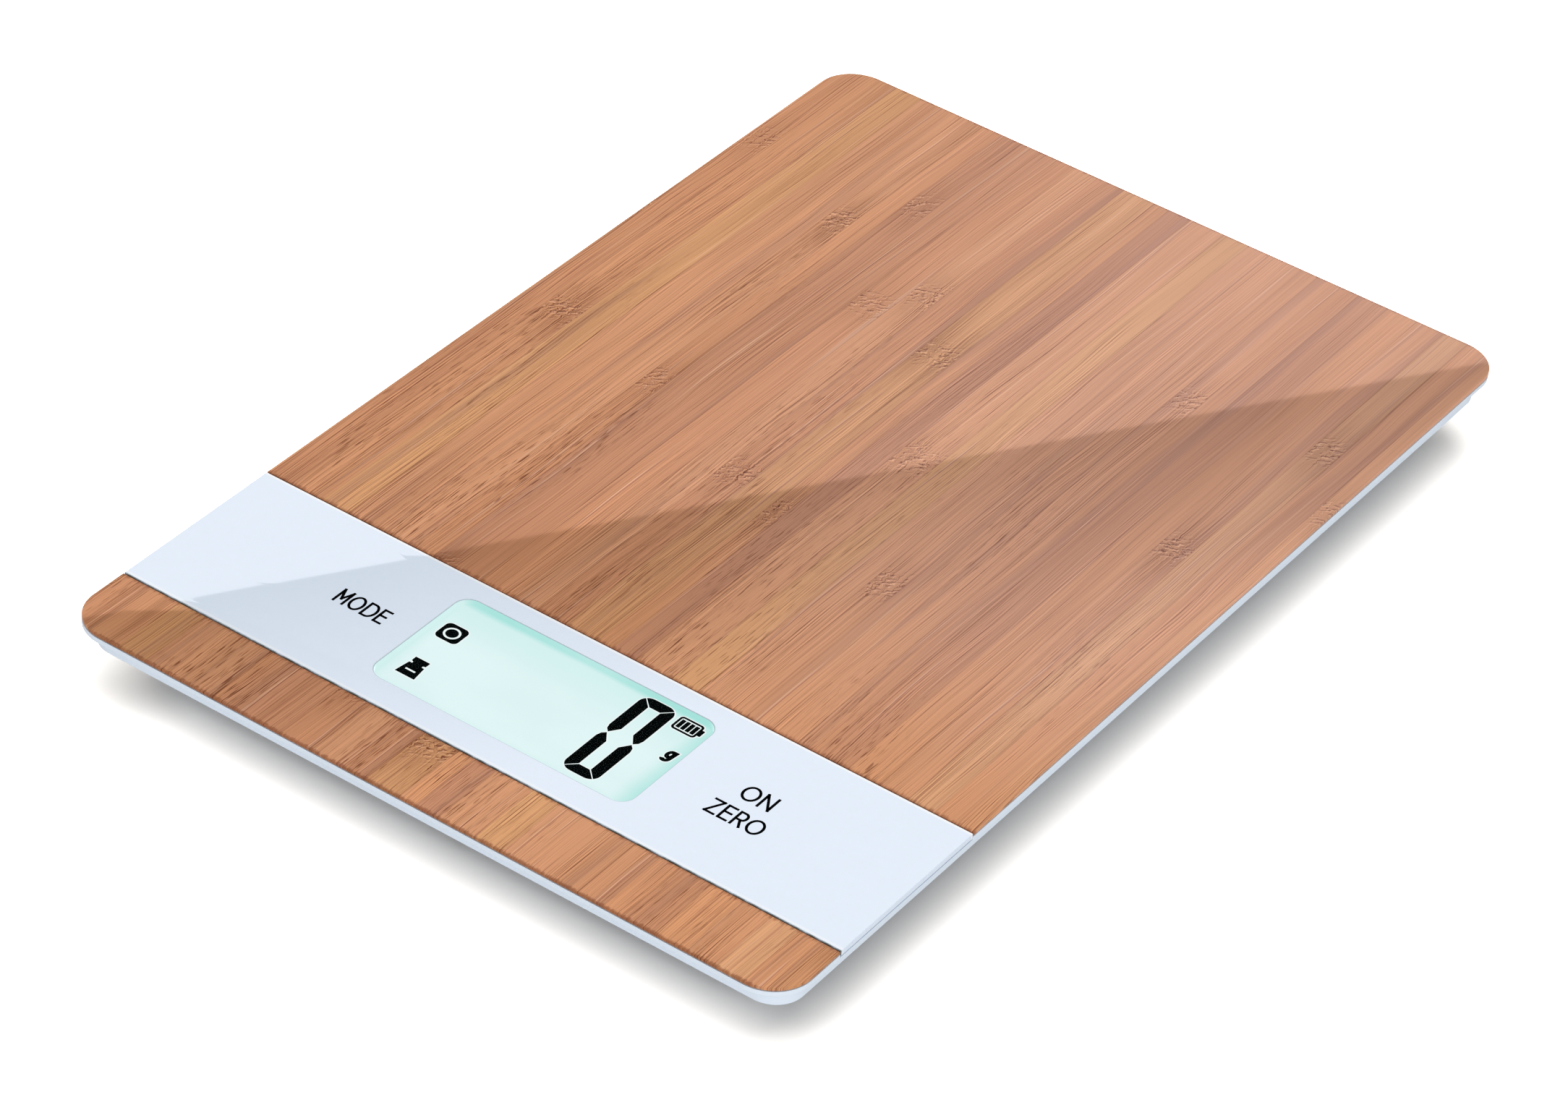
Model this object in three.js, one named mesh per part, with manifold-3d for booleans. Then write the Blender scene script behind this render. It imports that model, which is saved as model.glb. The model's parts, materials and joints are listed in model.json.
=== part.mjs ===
// Slim electronic kitchen scale: a bamboo-faced platform that weighs on four load-cell feet.
// Millimetres, +Z up, +Y towards the back, origin on the table under the middle of the platform.
// Each named mesh is one physical piece, and pieces that only touch keep a small gap.

import * as THREE from "three";
import { mergeVertices } from "three/addons/utils/BufferGeometryUtils.js";
import Module from "manifold-3d";

const wasm = await Module();
wasm.setup();

// ---- Driving dimensions -------------------------------------------------------------------

const WIDTH = 150; // platform, along X
const LENGTH = 234; // platform, along Y
const HEIGHT = 17.5; // table to weighing surface
const CORNER = 8; // platform's corner radius in plan

const VENEER = 0.6; // bamboo facing
const TAPE = 0.2; // adhesive sheets
const COVER = 1.4; // top cover's plate
const PANEL = 1.2; // white display panel
const GROOVE = 0.25; // open line between the panel and the bamboo

const PANEL_FRONT = -100.9; // display panel's front and back edges
const PANEL_BACK = -62.5;
const WINDOW = { x: 54.2, y: 27.4, r: 3, centreY: -80.9 };

const RIM_DROP = 6; // weighing surface to the lower edge of the housing's upright wall
const RIM_INSET = { x: 1.9, y: 3.2 }; // wall's step in from the platform's edge
const SEAM = 0.3; // open line between cover and housing
const WALL = 1.6; // housing's shell
const BASE_Z = 2.2; // housing's underside above the table
const BASE_INSET = 12.8; // underside's step in from the platform's edge

const FOOT = { x: 46, y: 88, r: 10, clearance: 0.5 };
const CELL = { side: 26, thickness: 1.2, rail: 4, z: 5.2 };
const BOARD = { x0: -45, x1: 49, y0: -97.2, y1: -64.6, z: 8.3, thickness: 1.6 };
const KEYS = { left: -38.4, right: 42.9, y: -81.5 };

const BATTERY = { r: 5.25, body: 43.2, nub: 1.3, nubR: 1.9, z: 8.75, y: [15, 27] };
const BAY = { x: 25.5, y0: 8.8, y1: 33.2, top: 14.1 };
const DOOR = { x: 27.8, y0: 6.6, y1: 35.4, thickness: 1.2, gap: 0.2 };
const DOOR_TAB = { x: 15, halfWidth: 4 };

const SCREW = { headR: 2, headZ: 7, headTop: 8.3, shankR: 1.2, tip: 14.2 };
const BOSSES = [[-56, -60], [56, -60], [-56, 60], [56, 60], [0, -101.2], [0, 100.4]];
const BOARD_SCREWS = [[-36, -68], [36, -68]];
const BOARD_PROPS = [[-20, -95], [20, -95]];

// ---- Levels worked out from them ----------------------------------------------------------

const VENEER_Z = HEIGHT - VENEER;
const COVER_TOP = VENEER_Z - TAPE;
const COVER_Z = COVER_TOP - COVER;
const PANEL_Z = HEIGHT - PANEL;
const RECESS_Z = PANEL_Z - TAPE;
const WALL_TOP = COVER_Z - SEAM;
const WALL_Z = HEIGHT - RIM_DROP;
const FLOOR = BASE_Z + WALL;
const BOARD_TOP = BOARD.z + BOARD.thickness;
const CORNERS = [
  { name: "front_left", sx: -1, sy: -1 },
  { name: "front_right", sx: 1, sy: -1 },
  { name: "rear_left", sx: -1, sy: 1 },
  { name: "rear_right", sx: 1, sy: 1 },
];

// ---- Shape helpers ------------------------------------------------------------------------

function solid(shape) {
  if (shape instanceof wasm.Manifold) return shape;
  const bare = shape.index ? shape.toNonIndexed() : shape.clone();
  bare.deleteAttribute("normal");
  bare.deleteAttribute("uv");
  const merged = mergeVertices(bare, 1e-4);
  return new wasm.Manifold(new wasm.Mesh({
    numProp: 3,
    vertProperties: new Float32Array(merged.attributes.position.array),
    triVerts: new Uint32Array(merged.index.array),
  }));
}

const join = (first, ...others) => others.reduce((a, b) => a.add(solid(b)), solid(first));
const carve = (first, ...others) => others.reduce((a, b) => a.subtract(solid(b)), solid(first));
const common = (first, second) => solid(first).intersect(solid(second));

function geometryOf(shape) {
  if (!(shape instanceof wasm.Manifold)) return shape;
  const mesh = shape.getMesh();
  const geometry = new THREE.BufferGeometry();
  geometry.setAttribute("position", new THREE.BufferAttribute(mesh.vertProperties, 3));
  geometry.setIndex(new THREE.BufferAttribute(mesh.triVerts, 1));
  const flat = geometry.toNonIndexed();
  flat.computeVertexNormals();
  return flat;
}

function box(x0, x1, y0, y1, z0, z1) {
  return new THREE.BoxGeometry(x1 - x0, y1 - y0, z1 - z0)
    .translate((x0 + x1) / 2, (y0 + y1) / 2, (z0 + z1) / 2);
}

function disc(r, z0, z1, x = 0, y = 0, sides = 20, topR = r) {
  return new THREE.CylinderGeometry(topR, r, z1 - z0, sides)
    .rotateX(Math.PI / 2)
    .translate(x, y, (z0 + z1) / 2);
}

function roundedOutline(halfX, halfY, r) {
  const s = new THREE.Shape();
  s.moveTo(halfX, -halfY + r);
  s.absarc(halfX - r, halfY - r, r, 0, Math.PI / 2);
  s.absarc(-halfX + r, halfY - r, r, Math.PI / 2, Math.PI);
  s.absarc(-halfX + r, -halfY + r, r, Math.PI, 1.5 * Math.PI);
  s.absarc(halfX - r, -halfY + r, r, 1.5 * Math.PI, 2 * Math.PI);
  return s;
}

function slab(halfX, halfY, r, z0, z1, y = 0, curveSegments = 3) {
  const depth = z1 - z0;
  return new THREE.ExtrudeGeometry(
    roundedOutline(halfX, halfY, r), { depth, bevelEnabled: false, curveSegments },
  ).translate(0, y, z0);
}

// A closed body through rounded rectangles of the platform's outline, each stepped in by its inset.
function loft(levels, arc = 14) {
  const ring = ({ ix, iy, r, z }) => {
    const centres = [[1, 1, 0], [-1, 1, 1], [-1, -1, 2], [1, -1, 3]];
    return centres.flatMap(([sx, sy, quarter]) =>
      Array.from({ length: arc + 1 }, (_, k) => {
        const a = (quarter + k / arc) * (Math.PI / 2);
        const x = sx * (WIDTH / 2 - ix - r) + r * Math.cos(a);
        const y = sy * (LENGTH / 2 - iy - r) + r * Math.sin(a);
        return [x, y, z];
      }));
  };
  const rings = levels.map(ring);
  const count = rings[0].length;
  const position = [];
  const put = (...corners) => corners.forEach((p) => position.push(...p));
  rings.slice(1).forEach((upper, i) => {
    const lower = rings[i];
    for (let k = 0; k < count; k++) {
      const n = (k + 1) % count;
      put(lower[k], lower[n], upper[n]);
      put(lower[k], upper[n], upper[k]);
    }
  });
  const foot = rings[0], head = rings[rings.length - 1];
  for (let k = 1; k < count - 1; k++) {
    put(foot[0], foot[k + 1], foot[k]);
    put(head[0], head[k], head[k + 1]);
  }
  const geometry = new THREE.BufferGeometry();
  geometry.setAttribute("position", new THREE.Float32BufferAttribute(position, 3));
  return geometry;
}

function turned(profile, x, y, sides = 16) {
  const points = profile.map(([r, z]) => new THREE.Vector2(r, z));
  return new THREE.LatheGeometry(points, sides).rotateX(Math.PI / 2).translate(x, y, 0);
}

// A round cable of radius r along a smooth line through the given points.
function cable(points, r, steps, sides = 5) {
  const section = new THREE.Shape(
    Array.from({ length: sides }, (_, k) => {
      const a = (k / sides) * 2 * Math.PI;
      return new THREE.Vector2(r * Math.cos(a), r * Math.sin(a));
    }),
  );
  const path = new THREE.CatmullRomCurve3(points.map((p) => new THREE.Vector3(...p)));
  return new THREE.ExtrudeGeometry(section, { steps, bevelEnabled: false, extrudePath: path });
}

class Coil extends THREE.Curve {
  constructor(start, axis, length, turns, startR, endR) {
    super();
    Object.assign(this, { start, axis, length, turns, startR, endR });
  }

  getPoint(t, target = new THREE.Vector3()) {
    const a = t * this.turns * 2 * Math.PI;
    const r = this.startR + (this.endR - this.startR) * t;
    const along = this.length * t;
    const across = [r * Math.cos(a), r * Math.sin(a)];
    const offset = this.axis === "z" ? [...across, along] : [along, ...across];
    return target.set(...this.start.map((v, i) => v + offset[i]));
  }
}

function coilSpring(start, axis, length, turns, startR, endR, wireR) {
  const section = new THREE.Shape(
    Array.from({ length: 5 }, (_, k) => {
      const a = (k / 5) * 2 * Math.PI;
      return new THREE.Vector2(wireR * Math.cos(a), wireR * Math.sin(a));
    }),
  );
  const extrudePath = new Coil(start, axis, length, turns, startR, endR);
  const steps = Math.round(turns * 10);
  return new THREE.ExtrudeGeometry(section, { steps, bevelEnabled: false, extrudePath });
}

// ---- Materials ----------------------------------------------------------------------------

const finish = (color, roughness, metalness = 0, opacity = 1) =>
  new THREE.MeshStandardMaterial({ color, roughness, metalness, opacity, transparent: opacity < 1 });

const BAMBOO = finish(0xc18a62, 0.3);
const PANEL_WHITE = finish(0xe9effa, 0.2);
const SHELL_WHITE = finish(0xd8e3ee, 0.35);
const FRAME_WHITE = finish(0xf2f2ee, 0.5);
const CLEAR = finish(0xe4f6f4, 0.05, 0, 0.35);
const LCD_GLASS = finish(0xd6efec, 0.1, 0, 0.6);
const LIGHT_GUIDE = finish(0xdff8f4, 0.2);
const TAPE_WHITE = finish(0xdedede, 0.8);
const BOARD_GREEN = finish(0x1c5a38, 0.5);
const BLACK = finish(0x161616, 0.45);
const STEEL = finish(0xb8babc, 0.35, 1);
const NICKEL = finish(0xcfcbc0, 0.25, 1);
const GAUGE = finish(0xc47a30, 0.6);
const RUBBER = finish(0x8f9499, 0.85);
const RED = finish(0xb02020, 0.5);
const CELL_JACKET = finish(0x3c6e9c, 0.3);

// ---- Platform -----------------------------------------------------------------------------

const platformBlock = (z0, z1, inset = 0) =>
  slab(WIDTH / 2 - inset, LENGTH / 2 - inset, CORNER - inset, z0, z1, 0, 14);

const strip = (y0, y1, z0, z1, inset) =>
  common(platformBlock(z0, z1, inset), box(-WIDTH, WIDTH, y0, y1, z0 - 1, z1 + 1));

const windowSlab = (grow, z0, z1) =>
  slab(WINDOW.x / 2 + grow, WINDOW.y / 2 + grow, WINDOW.r + grow, z0, z1, WINDOW.centreY);

const keyHole = (x, r, z0, z1) => disc(r, z0, z1, x, KEYS.y);

const bambooRear = () => strip(PANEL_BACK + GROOVE, LENGTH, VENEER_Z, HEIGHT, 0);
const bambooFront = () => strip(-LENGTH, PANEL_FRONT - GROOVE, VENEER_Z, HEIGHT, 0);
const tapeRear = () => strip(PANEL_BACK + 2, LENGTH, COVER_TOP, VENEER_Z, 2);
const tapeFront = () => strip(-LENGTH, PANEL_FRONT - 2, COVER_TOP, VENEER_Z, 2);

function panelTape() {
  const sheet = box(-WIDTH / 2 + 2, WIDTH / 2 - 2, PANEL_FRONT + 1, PANEL_BACK - 1, RECESS_Z, PANEL_Z);
  return carve(
    sheet,
    windowSlab(1.5, RECESS_Z - 1, PANEL_Z + 1),
    keyHole(KEYS.left, 5.5, RECESS_Z - 1, PANEL_Z + 1),
    keyHole(KEYS.right, 5.5, RECESS_Z - 1, PANEL_Z + 1),
  );
}

function displayPanel() {
  const block = box(-WIDTH / 2, WIDTH / 2, PANEL_FRONT, PANEL_BACK, PANEL_Z, HEIGHT);
  return carve(block, windowSlab(0, PANEL_Z - 1, HEIGHT + 1));
}

const displayWindow = () => windowSlab(-0.1, PANEL_Z + 0.1, HEIGHT - 0.05);

function topCover() {
  const outline = (inset, r, z) => ({ ix: inset, iy: inset, r, z });
  const plate = loft([
    outline(0.5, CORNER - 0.5, COVER_Z), outline(0, CORNER, COVER_Z + 0.5), outline(0, CORNER, COVER_TOP),
  ]);
  const lip = (extra) => slab(
    WIDTH / 2 - RIM_INSET.x - WALL - 0.3 - extra, LENGTH / 2 - RIM_INSET.y - WALL - 0.3 - extra,
    4 - extra, COVER_Z - 1.7, COVER_Z + 0.2,
  );
  const rim = carve(lip(0), lip(1.2));
  const ribDepth = 1.9, ribHalf = 0.6;
  const ribAlong = (x) => box(x - ribHalf, x + ribHalf, -58, 108, COVER_Z - ribDepth, COVER_Z + 0.2);
  const ribAcross = (y) => box(-70, 70, y - ribHalf, y + ribHalf, COVER_Z - ribDepth, COVER_Z + 0.2);
  const bosses = BOSSES.map(([x, y]) => disc(2.8, 10.3, COVER_Z + 0.2, x, y, 12));
  const pilots = BOSSES.map(([x, y]) => disc(1.35, 9, COVER_Z + 0.5, x, y, 8));
  const recess = box(-WIDTH, WIDTH, PANEL_FRONT - 0.1, PANEL_BACK + 0.1, RECESS_Z, HEIGHT);
  return carve(
    join(plate, rim, ribAlong(-36), ribAlong(36), ribAcross(-30), ribAcross(48), ribAcross(74), ...bosses),
    ...pilots,
    recess,
    windowSlab(1.5, COVER_Z - 1, HEIGHT),
    keyHole(KEYS.left, 5, COVER_Z - 1, HEIGHT),
    keyHole(KEYS.right, 5, COVER_Z - 1, HEIGHT),
  );
}

// ---- Housing ------------------------------------------------------------------------------

function housingShell() {
  const { x, y } = RIM_INSET;
  const outer = loft([
    { ix: BASE_INSET, iy: BASE_INSET, r: 9.5, z: BASE_Z },
    { ix: BASE_INSET - 1, iy: BASE_INSET - 1, r: 9.5, z: BASE_Z + 0.8 },
    { ix: x, iy: y, r: 5.8, z: WALL_Z },
    { ix: x, iy: y, r: 5.8, z: WALL_TOP },
  ]);
  const inner = loft([
    { ix: BASE_INSET + 0.3, iy: BASE_INSET + 0.3, r: 9, z: FLOOR },
    { ix: x + WALL, iy: y + WALL, r: 4.2, z: WALL_Z + 0.6 },
    { ix: x + WALL, iy: y + WALL, r: 4.2, z: WALL_TOP + 1 },
  ]);
  return carve(outer, inner);
}

// What one load cell sits on: a guard ring round the foot, two ledges, and two heat-staked pins.
function cellSeat({ sx, sy }) {
  const x = sx * FOOT.x, y = sy * FOOT.y;
  const bore = FOOT.r + FOOT.clearance;
  const half = CELL.side / 2;
  const ring = carve(
    disc(bore + 1, FLOOR - 0.5, FLOOR + 0.8, x, y, 20), disc(bore, 0, HEIGHT, x, y, 20),
  );
  const ledges = [-1, 1].map((side) => {
    const near = x + side * (bore + 0.2), far = x + side * half;
    return box(Math.min(near, far), Math.max(near, far), y - 11, y + 11, FLOOR - 0.5, CELL.z);
  });
  const pins = [-1, 1].map((side) => join(
    disc(0.9, CELL.z - 0.5, CELL.z + 1.5, x + side * 11.8, y, 8),
    disc(1.4, CELL.z + 1.4, CELL.z + 1.9, x + side * 11.8, y, 8, 0.9),
  ));
  return join(ring, ...ledges, ...pins);
}

const batteryFlange = () => box(-30, 30, 4.4, 39.6, FLOOR - 0.5, 5.2);

function batteryTub() {
  const wall = 1.8;
  const tub = box(-BAY.x - wall, BAY.x + wall, BAY.y0 - wall, BAY.y1 + wall, FLOOR - 0.5, BAY.top + 0.9);
  const hood = box(-20, 20, BAY.y1, 39.6, FLOOR - 0.5, 7);
  return join(batteryFlange(), tub, hood);
}

function batteryOpenings() {
  const bay = box(-BAY.x, BAY.x, BAY.y0, BAY.y1, 0, BAY.top);
  const rebate = box(
    -DOOR.x - DOOR.gap, DOOR.x + DOOR.gap, DOOR.y0 - DOOR.gap, DOOR.y1 + DOOR.gap,
    0, BASE_Z + DOOR.thickness + 0.1,
  );
  const slots = [-1, 1].map((side) => {
    const x = side * DOOR_TAB.x, half = DOOR_TAB.halfWidth + 0.4;
    return box(x - half, x + half, BAY.y1 - 1, 38.4, BASE_Z + DOOR.thickness + 0.1, 6.1);
  });
  const leadHoles = BATTERY.y.map((y) => box(BAY.x - 1, BAY.x + 3, y - 2, y + 1.2, 10.6, 12.8));
  const thumbDip = disc(7, 1, BASE_Z + 0.7, 0, DOOR.y0 - 0.4, 16);
  return [bay, rebate, ...slots, ...leadHoles, thumbDip];
}

function bottomHousing() {
  const bosses = BOSSES.map(([x, y]) => disc(3, FLOOR - 1, 10, x, y, 12));
  const counterbores = BOSSES.map(([x, y]) => disc(2.3, 0, 8.4, x, y, 12));
  const screwHoles = BOSSES.map(([x, y]) => disc(1.5, 8, 11, x, y, 8));
  const posts = [...BOARD_SCREWS, ...BOARD_PROPS]
    .map(([x, y]) => disc(2.2, FLOOR - 0.5, BOARD.z - 0.1, x, y, 10));
  const pilots = BOARD_SCREWS.map(([x, y]) => disc(1, FLOOR + 0.4, BOARD.z, x, y, 8));
  const footHoles = CORNERS.map(({ sx, sy }) =>
    disc(FOOT.r + FOOT.clearance, 0, FLOOR + 0.2, sx * FOOT.x, sy * FOOT.y, 20));
  const labelDip = slab(32, 16, 3, BASE_Z - 1, BASE_Z + 0.3, -38);
  return carve(
    join(housingShell(), ...CORNERS.map(cellSeat), batteryTub(), ...bosses, ...posts),
    ...counterbores, ...screwHoles, ...pilots, ...footHoles, ...batteryOpenings(), labelDip,
  );
}

// Hooked at its back edge by two tabs, held shut at its front edge by a spring finger.
function batteryDoor() {
  const inner = BASE_Z + DOOR.thickness;
  const plate = box(-DOOR.x, DOOR.x, DOOR.y0, DOOR.y1, BASE_Z, inner);
  const tabs = [-1, 1].map((side) => {
    const x0 = side * DOOR_TAB.x - DOOR_TAB.halfWidth, x1 = side * DOOR_TAB.x + DOOR_TAB.halfWidth;
    return join(
      box(x0, x1, BAY.y1 + 0.3, DOOR.y1 - 0.2, inner - 0.3, inner + 1.5),
      box(x0, x1, BAY.y1 + 0.3, 37.6, inner + 0.5, inner + 1.5),
    );
  });
  const finger = box(-6, 6, BAY.y0 + 0.45, BAY.y0 + 1.25, inner - 0.3, 6);
  const grips = [0, 1, 2].map((k) => box(-7, 7, 9 + 1.8 * k, 9.8 + 1.8 * k, BASE_Z - 1, BASE_Z + 0.4));
  return carve(join(plate, ...tabs, finger), ...grips);
}

// ---- Feet and load cells ------------------------------------------------------------------

function footCup(x, y) {
  return turned([
    [0, 1.8], [8.2, 1.8], [8.2, 1], [9.5, 1], [10, 1.5], [10, 4.3], [8.8, 4.3], [8.8, 2.8],
    [3, 2.8], [3, 4.8], [1.3, 4.8], [1.3, 6.6], [1.9, 6.7], [1.2, 7.3], [0, 7.3],
  ], x, y);
}

const footPad = (x, y) => turned([[0, 0], [7.4, 0], [8, 0.5], [8, 1.7], [0, 1.7]], x, y);

// A stamped steel frame whose tongue reaches out from the inner side to carry the foot.
function loadCell(x, y, sx) {
  const top = CELL.z + CELL.thickness;
  const half = CELL.side / 2, inner = half - CELL.rail;
  const z0 = CELL.z, z1 = top;
  const ends = [x, x - sx * (half - 1)];
  const tongue = box(Math.min(...ends), Math.max(...ends), y - 3.5, y + 3.5, z0, z1);
  const pinHoles = [-1, 1].map((side) => disc(1.15, 0, HEIGHT, x + side * 11.8, y, 8));
  const neckSlots = [-1, 1].map((side) => {
    const at = x - sx * 7.5;
    return disc(1.2, 0, HEIGHT, at, y + side * 3.9, 8);
  });
  const frame = carve(
    slab(half, half, 2.5, z0, z1, 0, 2).translate(x, y, 0),
    slab(inner, inner, 1.5, 0, HEIGHT, 0, 2).translate(x, y, 0),
  );
  return carve(
    join(frame, tongue, disc(4.4, z0, z1, x, y, 16)),
    disc(1.6, 0, HEIGHT, x, y, 10), ...pinHoles, ...neckSlots,
  );
}

function strainGauge(x, y, sx) {
  const at = x - sx * 7.4, z = CELL.z + CELL.thickness + 0.1;
  return box(at - 1.6, at + 1.6, y - 2.2, y + 2.2, z, z + 0.3);
}

function cellLead({ sx, sy }) {
  const start = [
    [sx * 37.2, sy * 85.2, 7], [sx * 34.4, sy * 83.6, 7.2], [sx * 32.1, sy * 82.4, 6.8],
    [sx * 30.8, sy * 81.2, 5.4],
  ];
  const front = [...start, [sx * 27, -80.4, 4.9], [sx * 22.6, -79.4, 5.6], [sx * 19.4, -78, 7.4]];
  const rear = [
    ...start, [sx * 31.4, 75, 4.75], [sx * 33, 60, 4.7], [sx * 33, 20, 4.7], [sx * 33, -30, 4.7],
    [sx * 26, -56, 4.9], [sx * 16, -68, 5.6], [sx * 14, -73, 7.4],
  ];
  const [points, steps] = sy < 0 ? [front, 12] : [rear, 30];
  return cable(points, 0.45, steps);
}

// ---- Display and electronics --------------------------------------------------------------

const GLASS = { x: 29, y: 15.5, z: 13, top: 15.1 };
const GUIDE = { x: 27.5, y: 13.5, z: 10.9, top: 12.9 };

const centred = (halfX, halfY, z0, z1) =>
  box(-halfX, halfX, WINDOW.centreY - halfY, WINDOW.centreY + halfY, z0, z1);

const lcdGlass = () => centred(GLASS.x, GLASS.y, GLASS.z, GLASS.top);
const backlightGuide = () => centred(GUIDE.x, GUIDE.y, GUIDE.z, GUIDE.top);
const elastomerConnector = () => box(-25, 25, -96.1, -94.9, BOARD_TOP + 0.1, GLASS.z - 0.1);

function lcdFrame() {
  return carve(
    slab(30.5, 17, 1.5, BOARD_TOP + 0.1, GLASS.top, WINDOW.centreY),
    centred(GLASS.x + 0.2, GLASS.y + 0.2, GLASS.z - 0.05, HEIGHT),
    centred(GUIDE.x + 0.2, GUIDE.y + 0.2, 0, HEIGHT),
    box(-25.3, 25.3, -96.2, -94, 0, HEIGHT),
    box(-2, 2, -68, -65.6, 0, GUIDE.top + 0.1),
  );
}

function mainBoard() {
  const plate = box(BOARD.x0, BOARD.x1, BOARD.y0, BOARD.y1, BOARD.z, BOARD_TOP);
  return carve(plate, ...BOARD_SCREWS.map(([x, y]) => disc(1.2, 0, HEIGHT, x, y, 12)));
}

const touchSpring = (x) =>
  coilSpring([x, KEYS.y, BOARD_TOP + 0.45], "z", PANEL_Z - BOARD_TOP - 0.9, 3, 2.6, 3.8, 0.3);

const chipDome = () => turned(
  [[0, 7.1], [3, 7.3], [4.4, 7.8], [4.6, BOARD.z - 0.1], [0, BOARD.z - 0.1]], 2, -82, 20,
);

const crystalCan = () => box(-12, -4, -92, -88.5, BOARD.z - 3.2, BOARD.z - 0.1);
const capacitor = () => disc(2.5, BOARD.z - 3.6, BOARD.z - 0.1, 14, -90, 16);
const backlightLamp = () => box(-1.6, 1.6, -67.1, -66, BOARD_TOP + 1.1, BOARD_TOP + 2.9);

// ---- Batteries ----------------------------------------------------------------------------

// facing is +1 where the positive end points to +X.
function batteryCell(y, facing) {
  const { r, body, nub, nubR } = BATTERY;
  const back = -body / 2 - 0.4, front = back + body;
  const profile = [
    [0, back], [r - 0.5, back], [r, back + 0.5], [r, front - 0.5], [r - 0.5, front],
    [nubR, front], [nubR, front + nub], [0, front + nub],
  ];
  const points = profile.map(([pr, along]) => new THREE.Vector2(pr, along));
  return new THREE.LatheGeometry(points, 24)
    .rotateZ(-Math.PI / 2)
    .rotateY(facing > 0 ? 0 : Math.PI)
    .translate(0, y, BATTERY.z);
}

const contactPlate = (side, y0, y1) => {
  const xs = [side * 24.8, side * 25.2];
  return box(Math.min(...xs), Math.max(...xs), y0, y1, 4.4, 13.4);
};

const contactDome = (side, y) => new THREE.CylinderGeometry(2.6, 1.6, 1.3, 14)
  .rotateZ(side > 0 ? Math.PI / 2 : -Math.PI / 2)
  .rotateX(side > 0 ? 0 : Math.PI)
  .translate(side * 24.25, y, BATTERY.z);

const domedContact = (side, y0, y1, y) => join(contactPlate(side, y0, y1), contactDome(side, y));

function contactSpring(side, y) {
  const inner = side * 22.35, length = side * 2.1;
  return coilSpring([inner, y, BATTERY.z], "x", length, 3, 1.9, 3.4, 0.25);
}

// The outer lead starts at the rear cell and runs outside the inner one.
function batteryLead(y, outer) {
  const spread = outer ? 2 : 0;
  const bay = outer
    ? [[26.2, y, 11.8], [28.6, y - 0.5, 11.6], [30.9, 15, 10.6]]
    : [[26.2, y, 11.8], [28.2, y - 0.5, 11.4]];
  return cable([
    ...bay, [28.8 + spread, 2, 8.6], [27 + spread, -24, 6.4], [15.6 + spread, -54, 6.2],
    [9 + spread, -70, 6.5], [8.6 + spread, -73.4, 7.4],
  ], 0.5, 24);
}

// ---- Screws -------------------------------------------------------------------------------

function caseScrew(x, y) {
  const { headR, headZ, headTop, shankR, tip } = SCREW;
  const profile = [
    [0, headZ], [headR - 0.3, headZ], [headR, headZ + 0.4], [headR, headTop], [shankR, headTop],
    [shankR, tip - 1.4], [0, tip],
  ];
  const cross = [[0.3, 1.4], [1.4, 0.3]]
    .map(([hx, hy]) => box(x - hx, x + hx, y - hy, y + hy, headZ - 1, headZ + 0.7));
  return carve(turned(profile, x, y, 12), ...cross);
}

const boardScrew = (x, y) => turned([
  [0, 5], [0.75, 5.6], [0.75, BOARD_TOP + 0.1], [1.8, BOARD_TOP + 0.1], [1.6, BOARD_TOP + 1], [0, BOARD_TOP + 1],
], x, y, 12);

// ---- Assembly -----------------------------------------------------------------------------

const scale = new THREE.Group();

function add(name, shape, material) {
  const mesh = new THREE.Mesh(geometryOf(shape), material);
  mesh.name = name;
  scale.add(mesh);
}

add("bamboo_rear", bambooRear(), BAMBOO);
add("bamboo_front", bambooFront(), BAMBOO);
add("adhesive_rear", tapeRear(), TAPE_WHITE);
add("adhesive_front", tapeFront(), TAPE_WHITE);
add("adhesive_panel", panelTape(), TAPE_WHITE);
add("display_panel", displayPanel(), PANEL_WHITE);
add("display_window", displayWindow(), CLEAR);
add("top_cover", topCover(), SHELL_WHITE);
add("bottom_housing", bottomHousing(), SHELL_WHITE);
add("battery_door", batteryDoor(), SHELL_WHITE);

for (const corner of CORNERS) {
  const { name, sx, sy } = corner;
  const x = sx * FOOT.x, y = sy * FOOT.y;
  add(`foot_cup_${name}`, footCup(x, y), SHELL_WHITE);
  add(`foot_pad_${name}`, footPad(x, y), RUBBER);
  add(`load_cell_${name}`, loadCell(x, y, sx), STEEL);
  add(`strain_gauge_${name}`, strainGauge(x, y, sx), GAUGE);
  add(`cell_lead_${name}`, cellLead(corner), RED);
}

add("lcd_glass", lcdGlass(), LCD_GLASS);
add("backlight_guide", backlightGuide(), LIGHT_GUIDE);
add("lcd_frame", lcdFrame(), FRAME_WHITE);
add("elastomer_connector", elastomerConnector(), BLACK);
add("main_board", mainBoard(), BOARD_GREEN);
add("touch_spring_left", touchSpring(KEYS.left), NICKEL);
add("touch_spring_right", touchSpring(KEYS.right), NICKEL);
add("processor_dome", chipDome(), BLACK);
add("crystal", crystalCan(), STEEL);
add("capacitor", capacitor(), BLACK);
add("backlight_lamp", backlightLamp(), CLEAR);

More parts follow.
